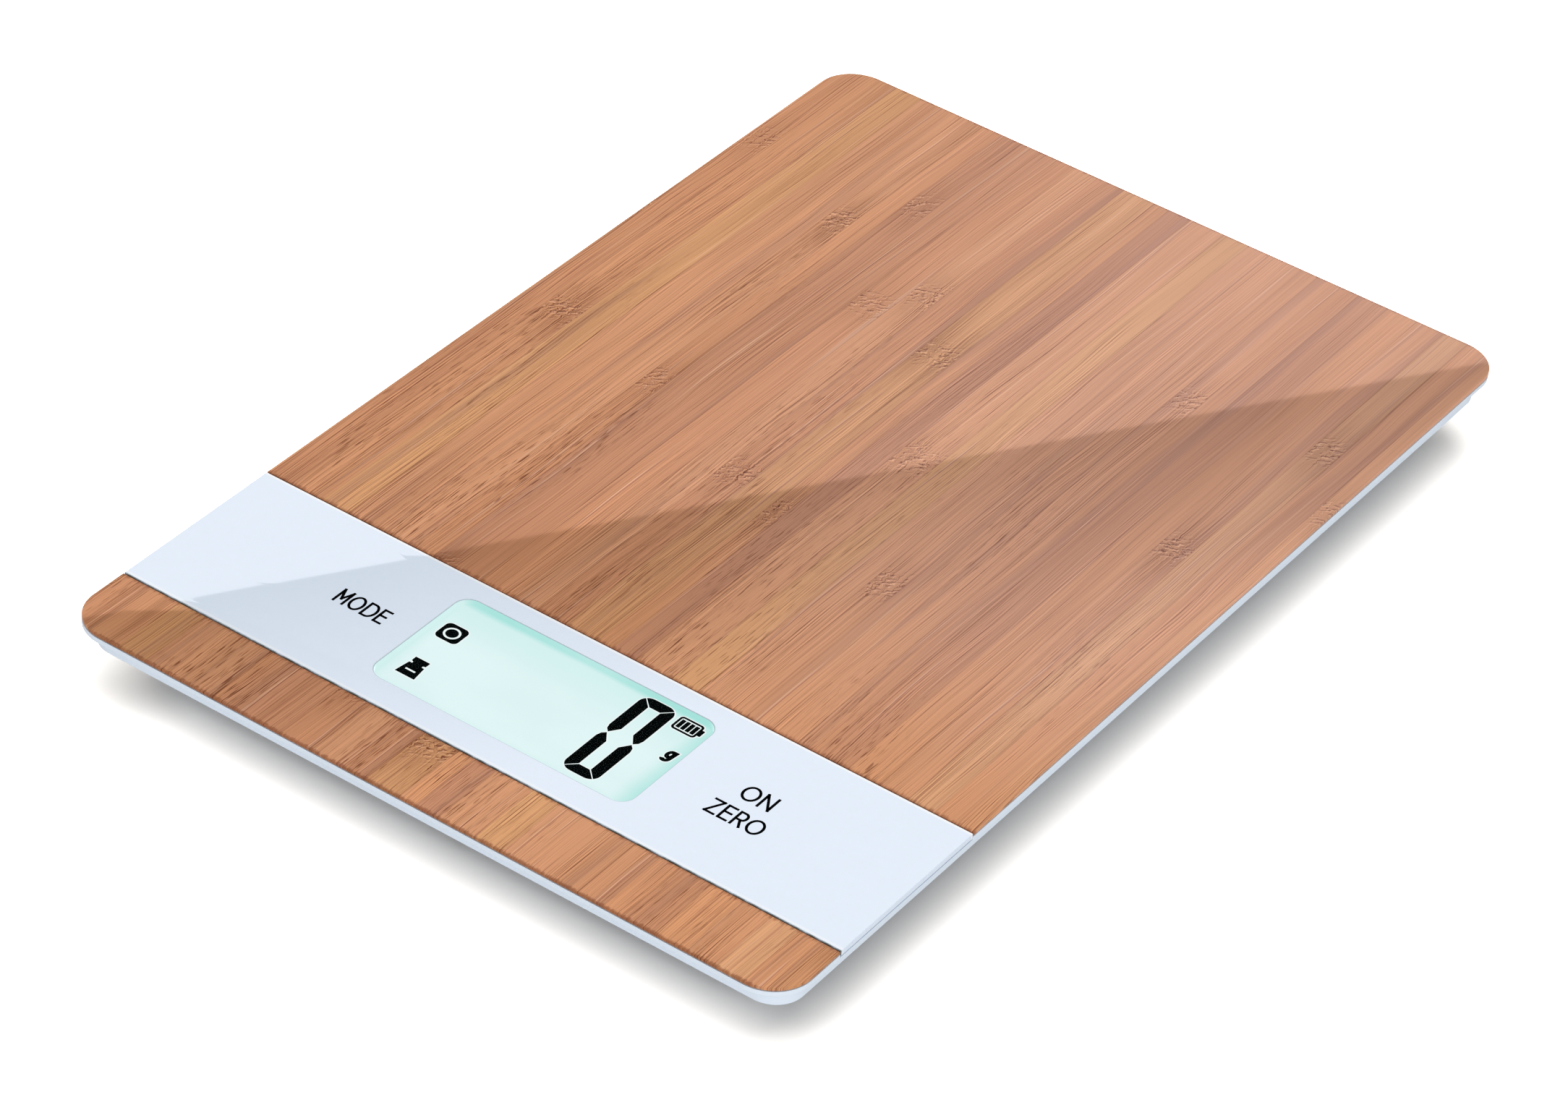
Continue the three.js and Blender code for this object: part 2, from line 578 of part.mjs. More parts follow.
add("battery_1", batteryCell(BATTERY.y[0], 1), CELL_JACKET);
add("battery_2", batteryCell(BATTERY.y[1], -1), CELL_JACKET);
add("battery_contact_plus", domedContact(1, 11, 19, BATTERY.y[0]), NICKEL);
add("battery_contact_minus", contactPlate(1, 23, 31), NICKEL);
add("battery_contact_bridge", domedContact(-1, 11, 31, BATTERY.y[1]), NICKEL);
add("battery_spring_1", contactSpring(-1, BATTERY.y[0]), STEEL);
add("battery_spring_2", contactSpring(1, BATTERY.y[1]), STEEL);
add("battery_lead_red", batteryLead(BATTERY.y[0], false), RED);
add("battery_lead_black", batteryLead(BATTERY.y[1], true), BLACK);

BOSSES.forEach(([x, y], k) => add(`case_screw_${k + 1}`, caseScrew(x, y), STEEL));
BOARD_SCREWS.forEach(([x, y], k) => add(`board_screw_${k + 1}`, boardScrew(x, y), STEEL));

export default scale;
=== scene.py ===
"""The looks of a slim bamboo-faced kitchen scale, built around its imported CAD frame.

Metres, +Z up, +Y from the display towards the back, origin on the table under the platform.
"""

import json
import math

import bmesh
import bpy
from mathutils import Matrix, Quaternion, Vector

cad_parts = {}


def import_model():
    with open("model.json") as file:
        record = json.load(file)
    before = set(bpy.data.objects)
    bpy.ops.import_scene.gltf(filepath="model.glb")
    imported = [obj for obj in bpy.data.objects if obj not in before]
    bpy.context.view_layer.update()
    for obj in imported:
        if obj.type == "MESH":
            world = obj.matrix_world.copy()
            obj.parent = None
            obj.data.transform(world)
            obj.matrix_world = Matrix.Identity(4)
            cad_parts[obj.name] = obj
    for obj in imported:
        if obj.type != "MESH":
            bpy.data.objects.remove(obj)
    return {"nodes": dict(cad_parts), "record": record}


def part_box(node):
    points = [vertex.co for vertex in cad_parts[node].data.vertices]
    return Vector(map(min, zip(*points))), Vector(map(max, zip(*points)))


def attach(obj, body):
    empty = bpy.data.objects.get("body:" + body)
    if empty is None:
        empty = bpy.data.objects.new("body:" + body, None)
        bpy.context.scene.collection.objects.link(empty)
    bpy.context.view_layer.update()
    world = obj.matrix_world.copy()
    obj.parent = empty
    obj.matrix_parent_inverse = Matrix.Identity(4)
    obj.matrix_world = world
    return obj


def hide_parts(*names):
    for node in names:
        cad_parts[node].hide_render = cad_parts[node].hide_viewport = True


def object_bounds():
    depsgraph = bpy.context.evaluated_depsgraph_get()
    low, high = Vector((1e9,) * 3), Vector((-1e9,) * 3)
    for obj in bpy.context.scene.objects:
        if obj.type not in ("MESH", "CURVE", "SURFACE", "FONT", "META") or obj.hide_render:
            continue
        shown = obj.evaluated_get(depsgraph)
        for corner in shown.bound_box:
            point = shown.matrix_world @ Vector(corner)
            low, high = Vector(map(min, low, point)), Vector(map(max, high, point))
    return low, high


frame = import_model()
CAD_LOW, CAD_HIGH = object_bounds()

MM = 0.001
NODES = frame["nodes"]
RECORD = frame["record"]
SLOT_OF = {row["node"]: row["material_slot"] for row in RECORD["subparts"]}
BODY_OF = {n: body for body, nodes in RECORD["behaviour"]["bodies"].items() for n in nodes}
BOX = {name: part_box(name) for name in NODES}

TOP = CAD_HIGH.z
CORNER = 8 * MM  # the platform's corner radius in plan
PANEL_LOW, PANEL_HIGH = BOX["display_panel"]
WINDOW_LOW, WINDOW_HIGH = BOX["display_window"]
WINDOW_CORNER = 2.9 * MM


# ---- Numbers that vary over a surface ------------------------------------------------------

class Field:
    """A value at each point of a surface. Arithmetic on it adds nodes to its material's tree."""

    def __init__(self, tree, socket):
        self.tree = tree
        self.socket = socket

    def _math(self, operation, *others):
        made = self.tree.nodes.new("ShaderNodeMath")
        made.operation = operation
        for slot, value in zip(made.inputs, (self, *others)):
            feed(self.tree, slot, value)
        return Field(self.tree, made.outputs[0])

    def __add__(self, other):
        return self._math("ADD", other)

    def __sub__(self, other):
        return self._math("SUBTRACT", other)

    def __mul__(self, other):
        return self._math("MULTIPLY", other)

    __radd__, __rmul__ = __add__, __mul__

    def __rsub__(self, other):
        return (self * -1.0) + other

    def floor(self):
        return self._math("FLOOR")

    def fraction(self):
        return self._math("FRACT")

    def size(self):
        return self._math("ABSOLUTE")

    def power(self, exponent):
        return self._math("POWER", exponent)

    def least(self, other):
        return self._math("MINIMUM", other)

    def most(self, other):
        return self._math("MAXIMUM", other)

    def ramp(self, low, high):
        """0 below low, 1 above high, and smooth between. low may be the larger."""
        made = self.tree.nodes.new("ShaderNodeMapRange")
        made.interpolation_type = "SMOOTHSTEP"
        swap = low > high
        made.inputs["From Min"].default_value = high if swap else low
        made.inputs["From Max"].default_value = low if swap else high
        made.inputs["To Min"].default_value = 1.0 if swap else 0.0
        made.inputs["To Max"].default_value = 0.0 if swap else 1.0
        feed(self.tree, made.inputs["Value"], self)
        return Field(self.tree, made.outputs["Result"])


def feed(tree, slot, value):
    if isinstance(value, Field):
        tree.links.new(value.socket, slot)
    elif isinstance(value, bpy.types.NodeSocket):
        tree.links.new(value, slot)
    else:
        slot.default_value = value


def place_of(tree):
    """Position on the object in millimetres, as three fields."""
    where = tree.nodes.new("ShaderNodeTexCoord")
    split = tree.nodes.new("ShaderNodeSeparateXYZ")
    tree.links.new(where.outputs["Object"], split.inputs[0])
    return [Field(tree, split.outputs[k]) * (1 / MM) for k in range(3)]


def vector(tree, x, y, z=0.0):
    made = tree.nodes.new("ShaderNodeCombineXYZ")
    for slot, value in zip(made.inputs, (x, y, z)):
        feed(tree, slot, value)
    return made.outputs[0]


def noise(tree, where, detail=2.0, roughness=0.5, distortion=0.0):
    """Smooth noise from 0 to 1, about 0.5, with features about one unit of where in size."""
    made = tree.nodes.new("ShaderNodeTexNoise")
    made.inputs["Scale"].default_value = 1.0
    made.inputs["Detail"].default_value = detail
    made.inputs["Roughness"].default_value = roughness
    made.inputs["Distortion"].default_value = distortion
    tree.links.new(where, made.inputs["Vector"])
    return Field(tree, made.outputs["Fac"])


def cells(tree, along, randomness):
    """Cuts a line into cells about one unit long. Gives each cell's three random numbers, and
    the distance to its nearest end."""
    colour = tree.nodes.new("ShaderNodeTexVoronoi")
    edge = tree.nodes.new("ShaderNodeTexVoronoi")
    edge.feature = "DISTANCE_TO_EDGE"
    for made in (colour, edge):
        made.voronoi_dimensions = "1D"
        made.inputs["Scale"].default_value = 1.0
        made.inputs["Randomness"].default_value = randomness
        feed(tree, made.inputs["W"], along)
    split = tree.nodes.new("ShaderNodeSeparateColor")
    tree.links.new(colour.outputs["Color"], split.inputs[0])
    return [Field(tree, out) for out in split.outputs[:3]], Field(tree, edge.outputs["Distance"])


def mixed(tree, share, first, second):
    """The first colour where share is 0, the second where it is 1, and a blend between."""
    made = tree.nodes.new("ShaderNodeMix")
    made.data_type = "RGBA"
    feed(tree, made.inputs[0], share)
    feed(tree, made.inputs[6], first)
    feed(tree, made.inputs[7], second)
    return made.outputs[2]


def colour_ramp(tree, value, stops):
    """A colour for each value, blended between stops, which are (value, colour) pairs."""
    made = tree.nodes.new("ShaderNodeValToRGB")
    elements = made.color_ramp.elements
    while len(elements) < len(stops):
        elements.new(0.5)
    for element, (position, colour) in zip(elements, stops):
        element.position = position
        element.color = colour
    feed(tree, made.inputs[0], value)
    return made.outputs[0]


def brightened(tree, colour, by):
    """A colour times a field."""
    made = tree.nodes.new("ShaderNodeVectorMath")
    made.operation = "SCALE"
    feed(tree, made.inputs[0], colour[:3] if isinstance(colour, tuple) else colour)
    feed(tree, made.inputs["Scale"], by)
    return made.outputs[0]


def bumped(tree, shader, height, depth):
    """Raises the surface by height times depth, in metres."""
    made = tree.nodes.new("ShaderNodeBump")
    made.inputs["Distance"].default_value = depth
    feed(tree, made.inputs["Height"], height)
    tree.links.new(made.outputs[0], shader.inputs["Normal"])


def srgb(red, green, blue):
    """A linear colour from the 0 to 255 values a screen shows."""
    def linear(v):
        v /= 255
        return v / 12.92 if v <= 0.04045 else ((v + 0.055) / 1.055) ** 2.4
    return (linear(red), linear(green), linear(blue), 1.0)


def material(name, colour=(0.8, 0.8, 0.8, 1), **settings):
    """A Principled material. Underscores in a setting's name stand for spaces."""
    made = bpy.data.materials.new(name)
    made.use_nodes = True
    tree = made.node_tree
    shader = tree.nodes["Principled BSDF"]
    shader.inputs["Base Color"].default_value = colour
    for key, value in settings.items():
        shader.inputs[key.replace("_", " ")].default_value = value
    return made, tree, shader


# ---- Materials -----------------------------------------------------------------------------

STRIP = 5.4  # mean width of a bamboo strip, in mm
KNUCKLE_EVERY = 150  # mm along a strip
MEAN_LIGHT = 1.09  # how bright the wood is where no line, pore or knuckle changes it

STRIP_TONES = [
    (0.00, srgb(187, 131, 99)), (0.10, srgb(194, 136, 100)), (0.20, srgb(200, 140, 102)),
    (0.42, srgb(203, 143, 102)), (0.60, srgb(206, 148, 110)), (0.78, srgb(203, 142, 101)),
    (0.92, srgb(206, 151, 105)), (1.00, srgb(209, 154, 116)),
]
SMOKY = srgb(158, 112, 92)
DARK_FIBRE = srgb(148, 88, 68)
PALE_FIBRE = srgb(228, 178, 144)
DEEP_BROWN = srgb(150, 84, 50)
CUT_END = srgb(128, 70, 42)
PAINTED_SHEEN = srgb(222, 196, 200)


def bamboo():
    """Lacquered bamboo: strips along Y, each with its own tone, fibres and knuckles.

    The lacquer's mirror takes the wood's colour, so a small metallic share stands for it.
    """
    made, tree, shader = material(
        "bamboo_lacquered", Roughness=0.015, Metallic=0.17, Specular_IOR_Level=0.05)
    x, y, _ = place_of(tree)
    (tone, shift, kind), seam = cells(tree, x * (1 / STRIP) + 3.7, 0.9)

    # Where a strip has its knuckle, and how the fibres bend there.
    along = (y * (1 / KNUCKLE_EVERY) + shift * 7.3).fraction()
    from_knuckle = (along - 0.5) * KNUCKLE_EVERY
    ragged = noise(tree, vector(tree, x * 0.8, y * 0.25, shift * 40), 2.0)
    reach = from_knuckle.size() + ragged * 6.0
    has_one = kind.ramp(0.40, 0.44)
    knuckle = reach.ramp(9.5, 3.0) * has_one
    stain = reach.ramp(20.0, 3.0) * has_one
    curl = noise(tree, vector(tree, x * 0.8, y * 0.8, shift * 90), 2.0, 0.6)
    sway = noise(tree, vector(tree, x * 0.12, y * 0.02, 17.0), 1.0)
    bent_x = x + (curl - 0.5) * knuckle * 2.2 + (sway - 0.5) * 2.2

    def fibres(across, length, seed, offset=0.0, detail=2.0):
        """Long thin lines: across is lines per mm, and length their length in mm."""
        where = vector(tree, (bent_x + offset) * across, y * (1 / length), shift * 60 + seed)
        return noise(tree, where, detail)

    broad = fibres(0.34, 130, 3.0)
    coarse = fibres(1.1, 60, 1.0)
    fine = fibres(2.9, 26, 7.0)
    fine_lit = fibres(2.9, 26, 7.0, offset=0.12)
    hair = fibres(6.5, 7, 13.0, detail=1.0)
    hair_lit = fibres(6.5, 7, 13.0, offset=0.06, detail=1.0)
    # Painted relief: each fibre gets a painted highlight on one side and painted shade on the
    # other. The relief is uneven, and fades towards the back right.
    uneven = noise(tree, vector(tree, x * 0.45, y * 0.012, 27.0), 2.0).ramp(0.36, 0.62) * 0.9 + 0.3
    crisp = (x * 0.8 + y).ramp(190, 20) * 0.7 + 0.3
    painted_relief = ((fine_lit - fine) * 1.2 + (hair_lit - hair) * 0.5) * uneven * crisp
    grain = (noise(tree, vector(tree, x * 3.2, y * 3.2), 1.0) - 0.5) * 0.07 * crisp

    # Dark lines with a painted highlight beside them, and short dark pores that come in patches.
    long_lines = fibres(1.5, 80, 31.0, detail=1.0).ramp(0.67, 0.75)
    line_highlights = fibres(1.5, 80, 31.0, offset=0.16, detail=1.0).ramp(0.67, 0.75)
    thin_lines = fibres(3.6, 34, 41.0, detail=1.0).ramp(0.64, 0.76)
    patch = noise(tree, vector(tree, x * 0.05 + 4, y * 0.014, 2.0), 2.0)
    pore_share = patch.ramp(0.42, 0.62) * (x * 0.6 + y).ramp(110, -60)
    pores = fibres(5.0, 4.0, 21.0, detail=0.0).ramp(0.62, 0.74) * pore_share
    bright_lines = fibres(2.4, 60, 51.0, detail=1.0).ramp(0.66, 0.80)

    # Short wavy flecks slanting across a knuckle, each with a painted highlight (its glint) on one
    # side.
    slant = (bent_x + y) * 0.46
    cross = (y - bent_x) * 1.15
    fleck = noise(tree, vector(tree, slant, cross, shift * 33), 0.0, 0.5, 0.25)
    fleck_lit = noise(tree, vector(tree, slant, cross + 0.42, shift * 33), 0.0, 0.5, 0.25)
    flecks = fleck.ramp(0.54, 0.68) * knuckle
    glints = fleck_lit.ramp(0.54, 0.68) * knuckle

    # How light each spot is. The seams between strips and the left side are a little darker.
    drift = noise(tree, vector(tree, x * 0.035, y * 0.011 + shift * 5, 9.0), 2.0)
    light = (
        MEAN_LIGHT + (broad - 0.5) * 0.34 + (coarse - 0.5) * 0.32 + (drift - 0.5) * 0.24
        + painted_relief + grain - pores * 0.32 - flecks * 0.25 + glints * 0.24 - stain * 0.10
    )
    at_seam = seam.ramp(0.045, 0.0)
    at_left = x.ramp(-35, -72)
    light = light * (1.0 - at_seam * 0.10) * (1.0 - at_left * 0.045)

    # Colour, from the strip's tone through the lines on it.
    base = colour_ramp(tree, tone, STRIP_TONES)
    streaks = fibres(0.30, 160, 61.0, detail=1.0).ramp(0.56, 0.70)
    streaked = mixed(tree, streaks * 0.38, base, SMOKY)
    lines = (long_lines * 0.7).most(thin_lines * 0.45).most(flecks * 0.45) * (crisp * 0.6 + 0.4)
    reddened = mixed(tree, lines, streaked, DARK_FIBRE)
    # Pale fibres, plus the painted highlights beside dark lines and on knuckle flecks.
    pale_lines = (bright_lines * 0.5).most(line_highlights * 0.55).most(glints * 0.3)
    lightened = mixed(tree, pale_lines, reddened, PALE_FIBRE)
    warm = mixed(tree, (MEAN_LIGHT - light).ramp(0.0, 0.5), lightened, DEEP_BROWN)

    # The fibres' cut ends are darker, beside the display panel and at the front and back.
    half = (PANEL_HIGH.y - PANEL_LOW.y) / 2 / MM
    from_panel = (y - PANEL_LOW.y / MM - half).size() - half
    from_edge = (y - CAD_LOW.y / MM).least(CAD_HIGH.y / MM - y) * 1.6
    cut_ends = (from_panel.least(from_edge) + fine * 2.4 - 1.2).ramp(1.0, 0.1)
    ended = mixed(tree, cut_ends * 0.65, warm, CUT_END)

    # Painted sheen: a pale reflection on the lacquer, stronger towards the back right.
    sheen_share = (x + y * 0.2).ramp(-60, 55) * y.ramp(-75, 0) * 0.16
    sheened = mixed(tree, sheen_share, ended, PAINTED_SHEEN)
    tree.links.new(brightened(tree, sheened, light.most(0.25)), shader.inputs["Base Color"])
    return made


def panel_gloss():
    """The display panel: glossy white, with a paper-like mottle, a painted highlight along its back
    edge, and a painted highlight line and a dark painted seam shadow along its front edge."""
    made, tree, shader = material(
        "panel_gloss_white", Roughness=0.5, Coat_Weight=1.0, Coat_Roughness=0.01,
        Coat_IOR=1.8)
    x, y, _ = place_of(tree)
    soft = noise(tree, vector(tree, x * 0.25, y * 0.25), 3.0, 0.7)
    streaky = noise(tree, vector(tree, x * 0.9 + y * 0.4, y * 0.5 - x * 0.2), 2.0)
    shade = 1.0 + (soft - 0.5) * 0.035 + (streaky - 0.5) * 0.02
    white = brightened(tree, srgb(226, 239, 255), shade)
    # Painted highlights where the bevels catch the light: along the back edge, and a fainter line
    # just behind the front edge.
    back_highlight = (PANEL_HIGH.y / MM - y).ramp(0.75, 0.35)
    front_edge = y - PANEL_LOW.y / MM
    front_highlight = front_edge.ramp(0.30, 0.45) * front_edge.ramp(1.0, 0.6)
    highlighted = mixed(tree, back_highlight.most(front_highlight * 0.6), white, srgb(252, 253, 255))
    # Painted shadow in the seam along the front edge, broken up along its length.
    broken = noise(tree, vector(tree, x * 0.35, 0.0, 8.0), 2.0).ramp(0.30, 0.60) * 0.5 + 0.45
    seam_shaded = mixed(tree, front_edge.ramp(0.26, 0.10) * broken, highlighted, srgb(72, 84, 78))

    # A thin grey line round the window.
    middle = (WINDOW_LOW + WINDOW_HIGH) / 2 / MM
    half = (WINDOW_HIGH - WINDOW_LOW) / 2 / MM
    beyond_x = ((x - middle.x).size() - (half.x - WINDOW_CORNER / MM)).most(0.0)
    beyond_y = ((y - middle.y).size() - (half.y - WINDOW_CORNER / MM)).most(0.0)
    from_window = (beyond_x * beyond_x + beyond_y * beyond_y).power(0.5) - WINDOW_CORNER / MM
    outlined = mixed(tree, from_window.ramp(0.34, 0.18) * 0.6, seam_shaded, srgb(120, 140, 144))
    tree.links.new(outlined, shader.inputs["Base Color"])
    return made


def moulded(name, colour, roughness, coat=0.0, mottle=0.01, grain=0.00001):
    """Plastic with faint uneven tone and the fine texture of its mould."""
    made, tree, shader = material(
        name, colour, Roughness=roughness, Coat_Weight=coat, Coat_Roughness=0.03)
    x, y, z = place_of(tree)
    patches = noise(tree, vector(tree, x * 0.09, y * 0.09, z * 0.09), 3.0)
    shade = 1.0 + (patches - 0.5) * 2 * mottle
    tree.links.new(brightened(tree, colour, shade), shader.inputs["Base Color"])
    texture = noise(tree, vector(tree, x * 2.4, y * 2.4, z * 2.4), 2.0)
    bumped(tree, shader, texture, grain)
    rough = (texture - 0.5) * 0.06 + roughness
    tree.links.new(rough.socket, shader.inputs["Roughness"])
    return made


def lcd_glow():
    """The lit display: pale, with painted turquoise shade from the recess walls along its edges,
    deepest at the back and right.
    """
    made, tree, shader = material(
        "lcd_glow", srgb(12, 16, 16), Roughness=0.25, Specular_IOR_Level=0.1)
    x, y, _ = place_of(tree)
    low, high = WINDOW_LOW / MM, WINDOW_HIGH / MM
    spread = noise(tree, vector(tree, x * 0.05, y * 0.08, 3.0), 2.0)
    # Painted shade of the recess walls, in turquoise: deep at the back and right edges, faint at
    # the left and front, and a little over the far part.
    back = (y * -1.0 + high.y + (spread - 0.5) * 2.0).ramp(2.3, -1.3)
    right = (x * -1.0 + high.x + (spread - 0.5) * 3.0).ramp(5.0, -0.8)
    left = (x - low.x).ramp(2.6, -1.0)
    front = (y - low.y).ramp(2.6, -1.5)
    far_shade = (y * -1.0 + high.y).ramp(12.0, 1.0)
    edge_shade = (back * 0.82).most(right * 0.55).most(left * 0.22).most(front * 0.20)
    edge_shade = edge_shade.most(far_shade * 0.16)
    centre = mixed(tree, spread.ramp(0.35, 0.65), srgb(220, 242, 242), srgb(223, 244, 244))
    glow = mixed(tree, edge_shade.least(1.0), centre, srgb(122, 216, 204))
    tree.links.new(glow, shader.inputs["Emission Color"])
    shader.inputs["Emission Strength"].default_value = 1.05
    return made


def halo_glow():
    """The pale glow round each symbol of the lit display."""
    made, tree, shader = material("lcd_halo", srgb(12, 16, 16), Specular_IOR_Level=0.1)
    x, y, _ = place_of(tree)
    wash = noise(tree, vector(tree, x * 0.2, y * 0.2), 1.0)
    glow = mixed(tree, wash, srgb(240, 252, 252), srgb(247, 255, 254))
    tree.links.new(glow, shader.inputs["Emission Color"])
    shader.inputs["Emission Strength"].default_value = 1.0
    return made


def ink(name, colour):
    """Printed or liquid-crystal black, matt, with a faint unevenness."""
    made, tree, shader = material(name, colour, Roughness=0.8, Specular_IOR_Level=0.0)
    x, y, _ = place_of(tree)
    wash = noise(tree, vector(tree, x * 1.5, y * 1.5), 2.0)
    tree.links.new(brightened(tree, colour, wash * 0.5 + 0.75), shader.inputs["Base Color"])
    return made


def clear_plastic():
    """The window: thin and clear, so it only dims what is under it a little."""
    made, tree, shader = material(
        "clear_acrylic", (0.04, 0.06, 0.06, 1), Roughness=0.03, Specular_IOR_Level=0.0, Alpha=0.03)
    x, y, z = place_of(tree)
    ripple = noise(tree, vector(tree, x * 0.12, y * 0.12, z * 0.12), 1.0)
    bumped(tree, shader, ripple, 0.00001)
    return made


def brushed(name, colour, roughness, along):
    """Metal drawn or brushed along x or y."""
    made, tree, shader = material(name, colour, Metallic=1.0)
    x, y, z = place_of(tree)
    stretch = {"x": (0.15, 6, 6), "y": (6, 0.15, 6)}[along]
    lines = noise(tree, vector(tree, x * stretch[0], y * stretch[1], z * stretch[2]), 3.0)
    tree.links.new(brightened(tree, colour, lines * 0.3 + 0.85), shader.inputs["Base Color"])
    rough = (lines - 0.5) * 0.25 + roughness
    tree.links.new(rough.socket, shader.inputs["Roughness"])
    bumped(tree, shader, lines, 0.00001)
    return made


def rubber():
    """Grey rubber, pitted and a little dusty."""
    made, tree, shader = material("grey_elastomer", srgb(150, 154, 158), Roughness=0.8)
    x, y, z = place_of(tree)
    dust = noise(tree, vector(tree, x * 0.7, y * 0.7, z * 0.7), 4.0, 0.6)
    colour = mixed(tree, dust.ramp(0.4, 0.7), srgb(132, 136, 140), srgb(160, 163, 166))
    tree.links.new(colour, shader.inputs["Base Color"])
    pits = noise(tree, vector(tree, x * 5, y * 5, z * 5), 2.0)
    bumped(tree, shader, pits, 0.00004)
    return made


def circuit_board():
    """Green solder mask with faint copper tracks under it."""
    made, tree, shader = material("solder_mask", srgb(20, 84, 48), Roughness=0.35, Coat_Weight=0.5)
    x, y, _ = place_of(tree)
    step = noise(tree, vector(tree, (x * 0.22).floor(), (y * 0.3).floor()), 0.0)
    bands = ((x + step * 14) * 0.9).fraction()
    rows = ((y + step * 11) * 0.8).fraction()
    lengthwise = bands.ramp(0.30, 0.36) * step.ramp(0.5, 0.52)
    crosswise = rows.ramp(0.30, 0.36) * step.ramp(0.5, 0.48)
    track = lengthwise + crosswise
    colour = mixed(tree, track * 0.55, srgb(16, 70, 42), srgb(58, 128, 70))
    tree.links.new(colour, shader.inputs["Base Color"])
    bumped(tree, shader, track, 0.00003)
    return made


def battery_jacket():
    """A printed jacket: dark, with a copper-coloured band at the positive end, and bare ends."""
    made, tree, shader = material("battery_jacket", srgb(40, 60, 86), Roughness=0.3)
    x, y, _ = place_of(tree)
    ends_of_both = [end.y / MM for cell in ("battery_1", "battery_2") for end in BOX[cell]]
    pointing = (y - sum(ends_of_both) / 4).ramp(0.01, -0.01) * 2.0 - 1.0
    forward = x * pointing
    band = forward.ramp(9.0, 9.2)
    line = (forward - 8.2).size().ramp(0.35, 0.30)
    ends = forward.ramp(21.25, 21.35).most(forward.ramp(-21.45, -21.55))
    wash = noise(tree, vector(tree, x * 0.3, y * 0.3), 2.0)
    jacket = mixed(tree, band, srgb(34, 54, 78), srgb(196, 138, 78))
    jacket = mixed(tree, line, jacket, srgb(225, 226, 224))
    jacket = mixed(tree, ends, jacket, srgb(196, 198, 200))
    tree.links.new(brightened(tree, jacket, wash * 0.2 + 0.9), shader.inputs["Base Color"])
    tree.links.new((band * 0.6).most(ends).least(1.0).socket, shader.inputs["Metallic"])
    return made


MATERIALS = {
    "bamboo": bamboo(),
    "adhesive": moulded("adhesive_film", srgb(206, 208, 208), 0.7),
    "panel_white": panel_gloss(),
    "clear_lens": clear_plastic(),
    "shell_white": moulded("shell_cool_white", srgb(226, 237, 249), 0.38, 0.15, 0.015, 0.000012),
    "foot_rubber": rubber(),
    "cell_steel": brushed("zinc_steel", srgb(190, 192, 194), 0.32, "y"),
    "gauge_film": moulded("amber_film", srgb(196, 120, 46), 0.4),
    "lead_red": moulded("red_vinyl", srgb(176, 30, 28), 0.4),
    "lcd_glass": lcd_glow(),
    "light_guide": moulded("milky_acrylic", srgb(222, 246, 242), 0.2, 0.3),
    "frame_white": moulded("frame_white", srgb(240, 240, 236), 0.5),
    "black_plastic": moulded("black_resin", srgb(26, 26, 27), 0.45),
    "board_green": circuit_board(),
    "nickel": brushed("nickel_plate", srgb(206, 203, 192), 0.25, "x"),
    "battery_case": battery_jacket(),
}
SYMBOL_BLACK = ink("lcd_black", srgb(4, 6, 6))
PRINT_BLACK = ink("print_black", srgb(8, 8, 10))
HALO = halo_glow()


# ---- Mesh helpers --------------------------------------------------------------------------

SHARP = math.radians(35)  # an edge that turns more than this is shaded as a crease


def arc(centre_x, centre_y, radius, start, end, steps):
    """Points of an arc, angles in degrees."""
    angles = [math.radians(start + (end - start) * k / steps) for k in range(steps + 1)]
    return [(centre_x + radius * math.cos(a), centre_y + radius * math.sin(a)) for a in angles]


def rounded(x0, x1, y0, y1, front, back=None, steps=16):
    """A rectangle with rounded corners, counterclockwise. A radius of 0 keeps a corner sharp."""
    back = front if back is None else back
    corners = [
        (x1 - back, y1 - back, back, 0), (x0 + back, y1 - back, back, 90),
        (x0 + front, y0 + front, front, 180), (x1 - front, y0 + front, front, 270),
    ]
    points = []
    for cx, cy, radius, start in corners:
        points += arc(cx, cy, radius, start, start + 90, steps) if radius else [(cx, cy)]
    return points


def ring(outer, inner):
    """An outline with a hole in it."""
    return [outer, inner[::-1]]


def level_faces_flat(mesh):
    """Shades all faces smooth but the level ones, which must mirror without distortion."""
    for face in mesh.polygons:
        face.use_smooth = abs(face.normal.z) < 0.9999


def tidy(mesh):
    """Joins doubled points, makes the faces point out, and smooths all but the sharp edges."""
    work = bmesh.new()
    work.from_mesh(mesh)
    bmesh.ops.remove_doubles(work, verts=work.verts, dist=1e-7)
    bmesh.ops.recalc_face_normals(work, faces=work.faces)
    work.to_mesh(mesh)
    work.free()
    level_faces_flat(mesh)
    mesh.set_sharp_from_angle(angle=SHARP)
    return mesh


def evaluated_mesh(obj):
    graph = bpy.context.evaluated_depsgraph_get()
    return bpy.data.meshes.new_from_object(obj.evaluated_get(graph))


def even_normals(mesh):
    """Weights the smooth shading by area, so that a flat face beside a rounded edge stays flat."""
    holder = bpy.data.objects.new("holder", mesh)
    bpy.context.scene.collection.objects.link(holder)
    weighted = holder.modifiers.new("even", "WEIGHTED_NORMAL")
    weighted.weight = 100
    weighted.keep_sharp = True
    result = evaluated_mesh(holder)
    bpy.data.objects.remove(holder)
    return result


def show(name, mesh, look, body="platform", replaces=()):
    """Adds a finished mesh as a piece of the object."""
    mesh = even_normals(mesh)
    mesh.materials.clear()
    mesh.materials.append(look)
    piece = bpy.data.objects.new(name, mesh)
    bpy.context.scene.collection.objects.link(piece)
    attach(piece, body)
    if replaces:
        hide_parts(*replaces)


